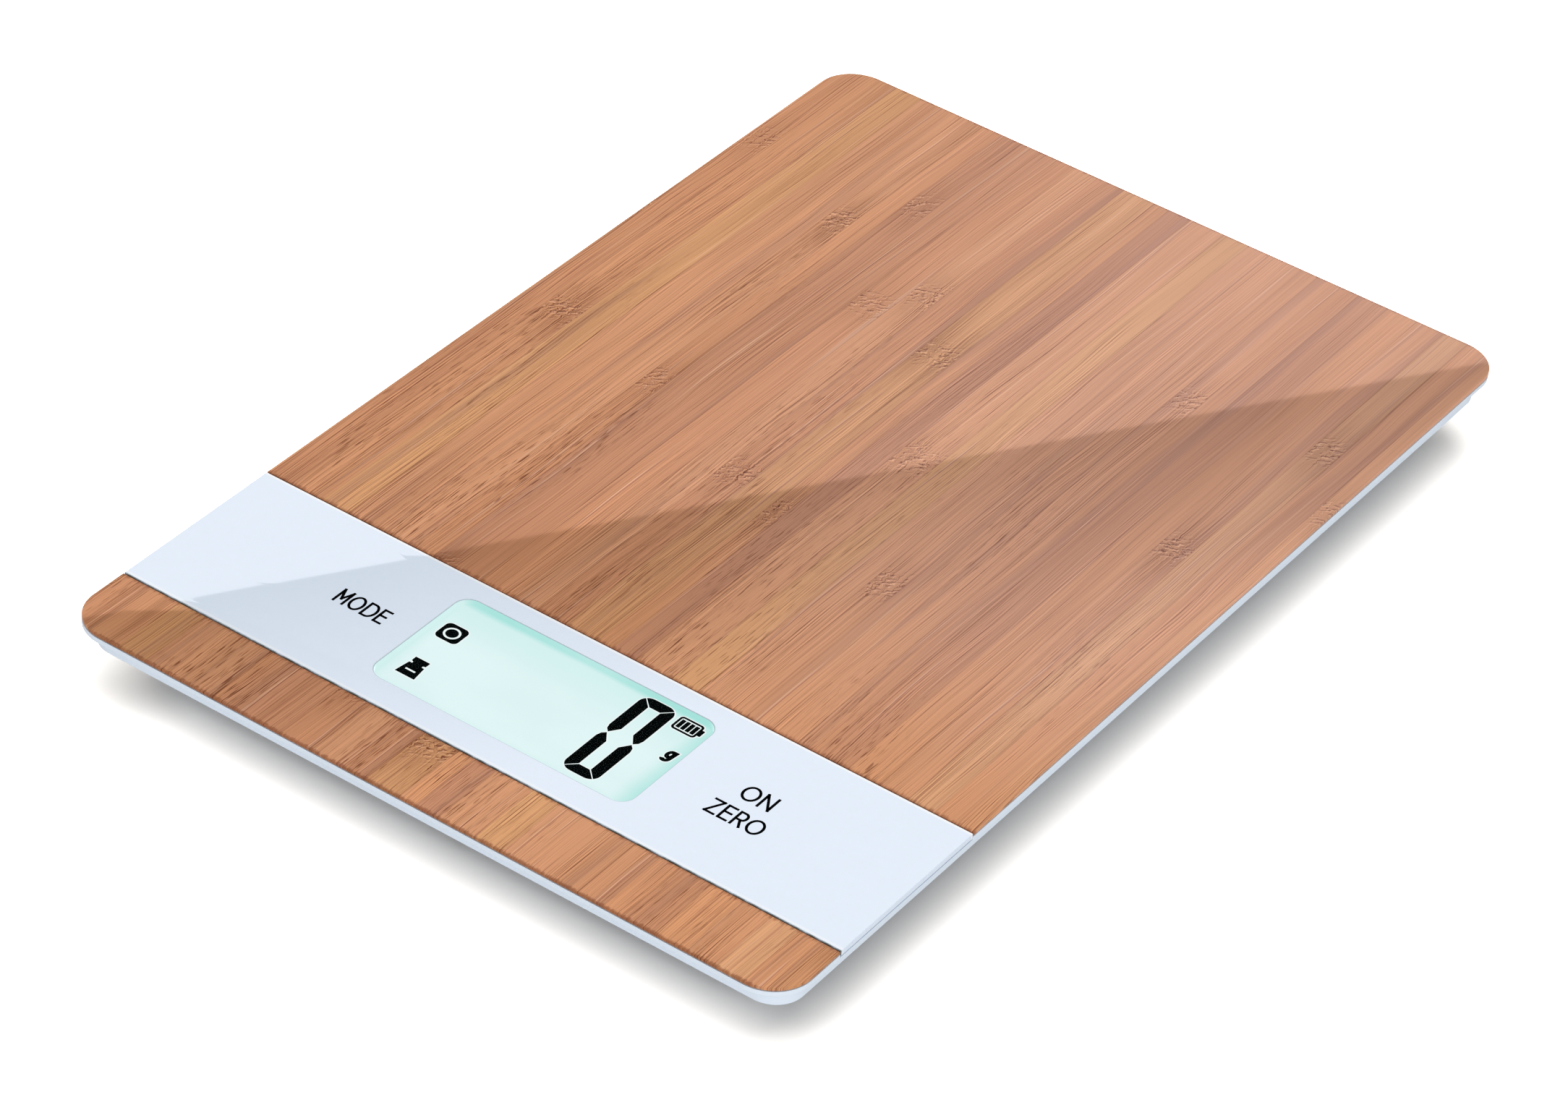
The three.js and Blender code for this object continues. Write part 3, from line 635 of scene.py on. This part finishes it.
def drawn(loops, z0, z1, edge=0.0, grow=0.0):
    """A mesh from outlines, holes among them, between two heights, with rounded edges."""
    curve = bpy.data.curves.new("drawn", "CURVE")
    curve.dimensions = "2D"
    curve.fill_mode = "BOTH"
    curve.extrude = (z1 - z0) / 2 - edge
    curve.bevel_depth = edge
    curve.bevel_resolution = 3
    curve.offset = grow - edge
    for loop in loops:
        line = curve.splines.new("POLY")
        line.points.add(len(loop) - 1)
        for point, (x, y) in zip(line.points, loop):
            point.co = (x, y, 0, 1)
        line.use_cyclic_u = True
    holder = bpy.data.objects.new("holder", curve)
    bpy.context.scene.collection.objects.link(holder)
    bpy.context.view_layer.update()
    mesh = evaluated_mesh(holder)
    bpy.data.objects.remove(holder)
    bpy.data.curves.remove(curve)
    mesh.transform(Matrix.Translation((0, 0, (z0 + z1) / 2)))
    return tidy(mesh)


def joined(meshes):
    """One mesh from several."""
    work = bmesh.new()
    for mesh in meshes:
        work.from_mesh(mesh)
    whole = bpy.data.meshes.new("joined")
    work.to_mesh(whole)
    work.free()
    level_faces_flat(whole)
    whole.set_sharp_from_angle(angle=SHARP)
    return whole


def refined(node, width):
    """Stands for a CAD node with a copy whose edges are rounded by width."""
    mesh = NODES[node].data.copy()
    work = bmesh.new()
    work.from_mesh(mesh)
    bmesh.ops.remove_doubles(work, verts=work.verts, dist=1e-6)
    bmesh.ops.dissolve_limit(
        work, angle_limit=math.radians(0.5), verts=work.verts, edges=work.edges)
    work.to_mesh(mesh)
    work.free()
    holder = bpy.data.objects.new("holder", mesh)
    bpy.context.scene.collection.objects.link(holder)
    bevel = holder.modifiers.new("edges", "BEVEL")
    bevel.width = width
    bevel.segments = 2
    bevel.limit_method = "ANGLE"
    bevel.angle_limit = math.radians(28)
    result = evaluated_mesh(holder)
    bpy.data.objects.remove(holder)
    slot = SLOT_OF[node]
    show(f"{node}_fine", tidy(result), MATERIALS[slot], BODY_OF[node], (node,))


# ---- Platform ------------------------------------------------------------------------------

def facing(node, front, back):
    """A bamboo sheet. front and back are the radii of its corners there."""
    low, high = BOX[node]
    outline = rounded(low.x, high.x, low.y, high.y, front, back)
    mesh = drawn([outline], low.z, high.z, edge=0.12 * MM)
    show(f"{node}_facing", mesh, MATERIALS["bamboo"], replaces=(node,))


def display_panel():
    outline = rounded(PANEL_LOW.x, PANEL_HIGH.x, PANEL_LOW.y, PANEL_HIGH.y, 0.15 * MM)
    mesh = drawn(ring(outline, window_outline(0.1 * MM)), PANEL_LOW.z, PANEL_HIGH.z, edge=0.15 * MM)
    show("display_panel_gloss", mesh, MATERIALS["panel_white"],
         replaces=("display_panel",))


def window_outline(grow):
    return rounded(WINDOW_LOW.x - grow, WINDOW_HIGH.x + grow, WINDOW_LOW.y - grow,
                   WINDOW_HIGH.y + grow, WINDOW_CORNER + grow)


def display_window():
    mesh = drawn([window_outline(0)], WINDOW_LOW.z, WINDOW_HIGH.z, edge=0.08 * MM)
    show("display_window_clear", mesh, MATERIALS["clear_lens"],
         replaces=("display_window",))


facing("bamboo_rear", 0, CORNER)
facing("bamboo_front", CORNER, 0)
display_panel()
display_window()


# ---- Printed legends on the panel ----------------------------------------------------------

# Each letter's pen strokes, in a box of height 1.
LETTERS = {
    "M": [[(0, 0), (0, 1), (0.4, 0.3), (0.8, 1), (0.8, 0)]],
    "O": [arc(0.5, 0.5, 0.5, 90, 450, 32)],
    "D": [[(0.38, 0), (0, 0), (0, 1)] + arc(0.38, 0.5, 0.5, 90, -90, 20)],
    "E": [[(0.6, 1), (0, 1), (0, 0), (0.6, 0)], [(0, 0.53), (0.54, 0.53)]],
    "N": [[(0, 0), (0, 1), (0.72, 0), (0.72, 1)]],
    "Z": [[(0, 1), (0.68, 1), (0, 0), (0.68, 0)]],
    "R": [[(0, 0), (0, 1)] + arc(0.36, 0.73, 0.27, 90, -90, 12) + [(0, 0.46)],
          [(0.34, 0.46), (0.64, 0)]],
}


def lettering(word, x0, x1, y0, y1, stroke):
    """A word drawn with plain strokes into a box, as outlines to fill."""
    widths = [max(px for line in LETTERS[letter] for px, _ in line) for letter in word]
    spacing = 0.33  # between letters, in letter heights
    across = (x1 - x0 - stroke) / (sum(widths) + spacing * (len(word) - 1))
    up = y1 - y0 - stroke
    loops = []
    left = 0.0
    for letter, width in zip(word, widths):
        for line in LETTERS[letter]:
            path = [Vector((x0 + stroke / 2 + (left + px) * across, y0 + stroke / 2 + py * up))
                    for px, py in line]
            for start, end in zip(path, path[1:]):
                along = (end - start).normalized() * stroke / 2
                side = Vector((-along.y, along.x))
                reach = along if (end - start).length > stroke else along * 0.3
                loops.append([end + reach + side, start - reach + side,
                              start - reach - side, end + reach - side])
        left += width + spacing
    return loops


def centred_box(centre_x, centre_y, width, height):
    half_x, half_y = width / 2, height / 2
    return centre_x - half_x, centre_x + half_x, centre_y - half_y, centre_y + half_y


LETTER_HEIGHT = 4.1 * MM
STROKE = 0.5 * MM
LEGENDS = [
    ("MODE", centred_box(-38.4 * MM, -81.4 * MM, 10.6 * MM, LETTER_HEIGHT)),
    ("ON", centred_box(42.8 * MM, -78.4 * MM, 6.4 * MM, LETTER_HEIGHT)),
    ("ZERO", centred_box(42.8 * MM, -84.9 * MM, 11.0 * MM, LETTER_HEIGHT)),
]


def key_legends():
    """The words beside the touch keys, as ink that stands a hair above the panel."""
    ink_lines = [drawn([loop], TOP - 0.005 * MM, TOP + 0.015 * MM)
                 for word, place in LEGENDS for loop in lettering(word, *place, STROKE)]
    show("key_legends", joined(ink_lines), PRINT_BLACK)


key_legends()


# ---- Display symbols -----------------------------------------------------------------------

def zero_segments(x0, x1, y0, y1, stroke, radius, gap):
    """The six lit segments of a seven-segment 0."""
    middle_x, middle_y = (x0 + x1) / 2, (y0 + y1) / 2
    half_x, half_y = (x1 - x0) / 2, (y1 - y0) / 2
    part = math.degrees(gap / 2 / radius)
    upright = (
        [(-half_x + 0.42 * stroke, gap * 0.9), (-half_x + 0.12 * stroke, gap + 0.30 * stroke),
         (-half_x, gap + 0.75 * stroke)]
        + arc(-half_x + radius, half_y - radius, radius, 180, 135 + part, 6)
        + [(-half_x + stroke, half_y - stroke - gap), (-half_x + stroke, gap + 0.85 * stroke)]
    )
    across = (
        arc(-half_x + radius, half_y - radius, radius, 135 - part, 90, 6)
        + arc(half_x - radius, half_y - radius, radius, 90, 45 + part, 6)
        + [(half_x - stroke - gap, half_y - stroke), (-half_x + stroke + gap, half_y - stroke)]
    )
    shapes = [(upright, sx, sy) for sx in (1, -1) for sy in (1, -1)]
    shapes += [(across, 1, 1), (across, 1, -1)]
    return [[(middle_x + sx * x, middle_y + sy * y) for x, y in shape] for shape, sx, sy in shapes]


def battery_symbol(x0, y0, width, height, line):
    """A battery lying down, with its four bars of charge."""
    x1, y1 = x0 + width, y0 + height
    shell = ring(rounded(x0, x1, y0, y1, 0.7 * MM, steps=5),
                 rounded(x0 + line, x1 - line, y0 + line, y1 - line, 0.35 * MM, steps=5))
    inset = height * 0.27
    nub = rounded(x1 - 0.05 * MM, x1 + 0.6 * MM, y0 + inset, y1 - inset, 0.15 * MM, steps=3)
    pitch = (width - 2 * line - 0.2 * MM) / 4
    bars = []
    for k in range(4):
        left = x0 + line + 0.2 * MM + k * pitch
        bars.append(rounded(left, left + pitch - 0.18 * MM, y0 + line + 0.28 * MM,
                            y1 - line - 0.28 * MM, 0.1 * MM, steps=2))
    return [shell, [nub]] + [[bar] for bar in bars]


def dial_symbol(x, y, half):
    """A round dial in a rounded square."""
    def circle(radius):
        return arc(x, y, radius, 0, 360 - 12, 29)
    square = rounded(x - half, x + half, y - half, y + half, half * 0.45, steps=6)
    return [ring(square, circle(half * 0.68)), [circle(half * 0.5)]]


def weight_symbol(x, y0, width, height):
    """A weight: a sloping body with a knob, and a plain bar across it."""
    half = width / 2
    body_top = y0 + height * 0.66
    outline = [
        (x - half, y0), (x + half, y0), (x + half * 0.78, body_top), (x + half * 0.5, body_top),
        (x + half * 0.5, y0 + height * 0.73), (x + half * 0.74, y0 + height * 0.77),
        (x + half * 0.74, y0 + height), (x - half * 0.74, y0 + height),
        (x - half * 0.74, y0 + height * 0.77), (x - half * 0.5, y0 + height * 0.73),
        (x - half * 0.5, body_top), (x - half * 0.78, body_top),
    ]
    bar = rounded(x - half * 0.5, x + half * 0.5, y0 + height * 0.28, y0 + height * 0.36, 0)
    return [ring(outline, bar)]


def gram_symbol(x0, y0, width, height):
    """A bold leaning g: a bowl, a stem and a hook."""
    def oval(centre_x, centre_y, radius_x, radius_y, start, end):
        return [(centre_x + px * radius_x, centre_y + py * radius_y)
                for px, py in arc(0, 0, 1, start, end, 20)]

    def leaning(loop):
        return [(x0 + (px + 0.22 * py) * width, y0 + py * height) for px, py in loop]
    bowl = ring(oval(0.42, 0.66, 0.46, 0.36, 0, 342), oval(0.42, 0.66, 0.09, 0.10, 0, 342))
    stem = [(0.50, 0.28), (0.94, 0.28), (0.94, 1.02), (0.50, 1.02)]
    hook = oval(0.42, 0.29, 0.52, 0.31, -160, 0) + oval(0.42, 0.29, 0.10, 0.06, 0, -160)
    return [[leaning(loop) for loop in bowl], [leaning(stem)], [leaning(hook)]]


# The lit face shows just under the window, on a film over the display's glass.
# It lies below the panel's face, so seen from the front right its symbols would look
# shifted that way. They are set back by the same amount.
SET_BACK = Vector((-0.66 * MM, 1.05 * MM))
FILM_TOP = WINDOW_LOW.z - 0.06 * MM


def on_display(x, y):
    """A place on the film, from millimetres measured from the platform's front left corner."""
    return CAD_LOW.x + x * MM + SET_BACK.x, CAD_LOW.y + y * MM + SET_BACK.y


def display_symbols():
    x0, y0 = on_display(87.4, 23.9)
    x1, y1 = on_display(94.5, 48.3)
    shapes = [[s] for s in zero_segments(x0, x1, y0, y1, 2.3 * MM, 2.1 * MM, 0.15 * MM)]
    shapes += battery_symbol(*on_display(95.4, 44.1), 4.9 * MM, 3.8 * MM, 0.44 * MM)
    shapes += dial_symbol(*on_display(52.5, 39.9), 2.35 * MM)
    shapes += weight_symbol(*on_display(53.3, 25.7), 4.1 * MM, 5.2 * MM)
    shapes += gram_symbol(*on_display(98.9, 36.0), 1.9 * MM, 3.3 * MM)

    # Each symbol is a thin black film with a slightly larger pale one under it.
    black = [drawn(shape, FILM_TOP + 0.03 * MM, FILM_TOP + 0.05 * MM) for shape in shapes]
    pale = [drawn(shape[:1], FILM_TOP + 0.005 * MM, FILM_TOP + 0.02 * MM, grow=0.22 * MM)
            for shape in shapes]

    # The lip stands round the window and closes the gap between it and the panel. It glows with the
    # display's material, so its painted turquoise shade stands in for the shaded recess wall.
    lip = drawn(ring(window_outline(0.09 * MM), window_outline(0.03 * MM)),
                FILM_TOP - 0.15 * MM, WINDOW_HIGH.z - 0.06 * MM)
    film_sheet = drawn([window_outline(0.03 * MM)], FILM_TOP - 0.15 * MM, FILM_TOP)
    show("lcd_face_film", joined([film_sheet, lip]), MATERIALS["lcd_glass"])
    show("lcd_symbols", joined(black), SYMBOL_BLACK)
    show("lcd_symbol_halos", joined(pale), HALO)


display_symbols()


# ---- Shells, feet and inner pieces ---------------------------------------------------------

EDGES = {
    "top_cover": 0.25 * MM,
    "bottom_housing": 0.25 * MM,
    "battery_door": 0.2 * MM,
    "lcd_frame": 0.15 * MM,
    "main_board": 0.1 * MM,
}
for corner in ("front_left", "front_right", "rear_left", "rear_right"):
    EDGES[f"foot_cup_{corner}"] = 0.2 * MM
    EDGES[f"foot_pad_{corner}"] = 0.15 * MM
for node, width in EDGES.items():
    refined(node, width)

# The nodes that no piece has replaced keep their CAD shape.
for node, cad in NODES.items():
    if not cad.hide_render:
        cad.data.materials[0] = MATERIALS[SLOT_OF[node]]


# ---- Stage, light and camera ---------------------------------------------------------------

def square_mesh(name, reach, z):
    """A level square with its middle over the origin. reach is half its side."""
    mesh = bpy.data.meshes.new(name)
    corners = [(-reach, -reach, z), (reach, -reach, z), (reach, reach, z), (-reach, reach, z)]
    mesh.from_pydata(corners, [], [(0, 1, 2, 3)])
    return mesh


def floor(name, z, colour):
    mesh = square_mesh(name, 6.0, z)
    look, tree, shader = material(
        name, colour, Roughness=0.9, Specular_IOR_Level=0.0, Emission_Color=(1, 1, 1, 1))
    mesh.materials.append(look)
    plane = bpy.data.objects.new(name, mesh)
    bpy.context.scene.collection.objects.link(plane)
    return plane, tree, shader


CAMERA_TARGET = Vector((8.4 * MM, -22.4 * MM, TOP))
CAMERA_PLACE = Vector((423.3 * MM, -698.3 * MM, TOP + 602.7 * MM))
CAMERA_ROLL = math.radians(6.01)
CAMERA_LENS = 131.06

# The softbox's edge is mirrored in the lacquer along a line across the platform.
MIRROR_START = Vector((-70.5 * MM, -112.7 * MM, TOP))
MIRROR_END = Vector((71.7 * MM, 112.6 * MM, TOP))
MIRROR_FADE = 60 * MM  # from that line to where the reflection is fully bright again
MIRROR_GLOW = 1.5
SOFTBOX_Z = 1.2


def camera():
    data = bpy.data.cameras.new("camera")
    data.sensor_width = 36
    data.lens = CAMERA_LENS
    data.clip_start = 0.01
    made = bpy.data.objects.new("camera", data)
    bpy.context.scene.collection.objects.link(made)
    made.location = CAMERA_PLACE
    facing_target = (CAMERA_TARGET - CAMERA_PLACE).to_track_quat("-Z", "Y")
    made.rotation_mode = "QUATERNION"
    made.rotation_quaternion = facing_target @ Quaternion((0, 0, 1), CAMERA_ROLL)
    bpy.context.scene.camera = made


def softbox():
    """A wide panel overhead, seen only in reflections.

    It is level, so the platform mirrors it without distortion, enlarged about the mirrored
    camera. It is bright up to one straight edge, drops there, and brightens again slowly.
    """
    mirrored = Vector((CAMERA_PLACE.x, CAMERA_PLACE.y, 2 * TOP - CAMERA_PLACE.z))
    enlarged = (SOFTBOX_Z - mirrored.z) / (TOP - mirrored.z)
    start, end = (mirrored + (point - mirrored) * enlarged for point in (MIRROR_START, MIRROR_END))
    edge = (end - start).normalized()
    away = Vector((0, 0, 1)).cross(edge)
    mesh = square_mesh("softbox", 1.6, 0.0)
    look = bpy.data.materials.new("softbox_glow")
    look.use_nodes = True
    tree = look.node_tree
    tree.nodes.clear()
    _, across, _ = place_of(tree)
    lit = across.ramp(-0.6, 0.6)
    recovering = (across * (-1 / (MIRROR_FADE / MM * enlarged))).most(0.0).least(1.0)
    glow = tree.nodes.new("ShaderNodeEmission")
    tree.links.new((lit.most(recovering) * MIRROR_GLOW).socket, glow.inputs["Strength"])
    out = tree.nodes.new("ShaderNodeOutputMaterial")
    tree.links.new(glow.outputs[0], out.inputs["Surface"])
    mesh.materials.append(look)
    card = bpy.data.objects.new("softbox", mesh)
    bpy.context.scene.collection.objects.link(card)
    axes = Matrix((edge, away, edge.cross(away))).transposed()
    card.matrix_world = Matrix.Translation((start + end) / 2) @ axes.to_4x4()
    card.visible_camera = False
    card.visible_diffuse = False
    card.visible_transmission = False
    card.visible_shadow = False


def area_light(name, place, size, power):
    """A square light that points at the origin, and isn't seen in reflections."""
    data = bpy.data.lights.new(name, "AREA")
    data.size = size
    data.energy = power
    made = bpy.data.objects.new(name, data)
    bpy.context.scene.collection.objects.link(made)
    made.location = place
    made.rotation_mode = "QUATERNION"
    made.rotation_quaternion = (-Vector(place)).to_track_quat("-Z", "Y")
    made.visible_glossy = False
    return made


def world():
    """Even white light from all round."""
    made = bpy.data.worlds.new("studio")
    made.use_nodes = True
    sky = made.node_tree.nodes["Background"]
    sky.inputs["Color"].default_value = (1.0, 1.0, 1.0, 1)
    sky.inputs["Strength"].default_value = 0.64
    bpy.context.scene.world = made


WARM_GREY = (0.58, 0.557, 0.530, 1)
PLAIN_GREY = (0.58, 0.58, 0.575, 1)
CORNER_SHADE = Vector((CAD_LOW.x - 1 * MM, CAD_LOW.y + 13 * MM))


def seen_floor():
    """The floor that the camera sees. It has no part in the light on the scale.

    It is a little warmer close to the scale, a painted tint against the bluish light its walls
    bounce. It has a faint painted glow in front, where the shadow is lighter, and a painted shadow
    by the left front corner.
    """
    plane, tree, shader = floor("floor_seen", 0.0, PLAIN_GREY)
    x, y, _ = place_of(tree)
    to_left, to_front = x - CORNER_SHADE.x / MM, y - CORNER_SHADE.y / MM
    from_corner = (to_left * to_left + to_front * to_front).power(0.5)
    # A painted shadow round the left front corner, which darkens both the colour and the glow.
    painted_corner_shadow = 1.0 - from_corner.ramp(24, 5) * 0.46
    glow = (y.ramp(-90, -115) * 0.14 + 0.04) * painted_corner_shadow
    feed(tree, shader.inputs["Emission Strength"], glow)
    beyond = (x.size() - CAD_HIGH.x / MM).most(y.size() - CAD_HIGH.y / MM)
    tone = mixed(tree, beyond.ramp(-8, 14), WARM_GREY, PLAIN_GREY)
    feed(tree, shader.inputs["Base Color"], brightened(tree, tone, painted_corner_shadow))
    plane.visible_diffuse = False
    plane.visible_glossy = False
    plane.visible_transmission = False
    plane.visible_shadow = False
    return plane


def receivers(name, plane):
    """A collection for light linking, with the floor in it."""
    made = bpy.data.collections.new(name)
    made.objects.link(plane)
    return made


camera()
softbox()
world()
seen = seen_floor()

# The floor just under the seen one only bounces light up at the scale.
bounce_floor, _, _ = floor("floor_bounce", -0.1 * MM, (0.85, 0.85, 0.85, 1))
bounce_floor.visible_camera = False

# The seen floor has a light of its own, which keeps it white close up to the scale.
area_light("overhead", (-0.3, 0.3, 1.6), 1.4, 4)
low_fill = area_light("low_fill", (1.0, -1.1, 0.35), 1.2, 9)
floor_wash = area_light("floor_wash", (-0.22, -0.27, 1.6), 2.2, 156)
floor_wash.light_linking.receiver_collection = receivers("only_floor", seen)
all_but_floor = receivers("not_floor", seen)
all_but_floor.collection_objects[0].light_linking.link_state = "EXCLUDE"
low_fill.light_linking.receiver_collection = all_but_floor
bpy.context.scene.view_settings.view_transform = "Standard"
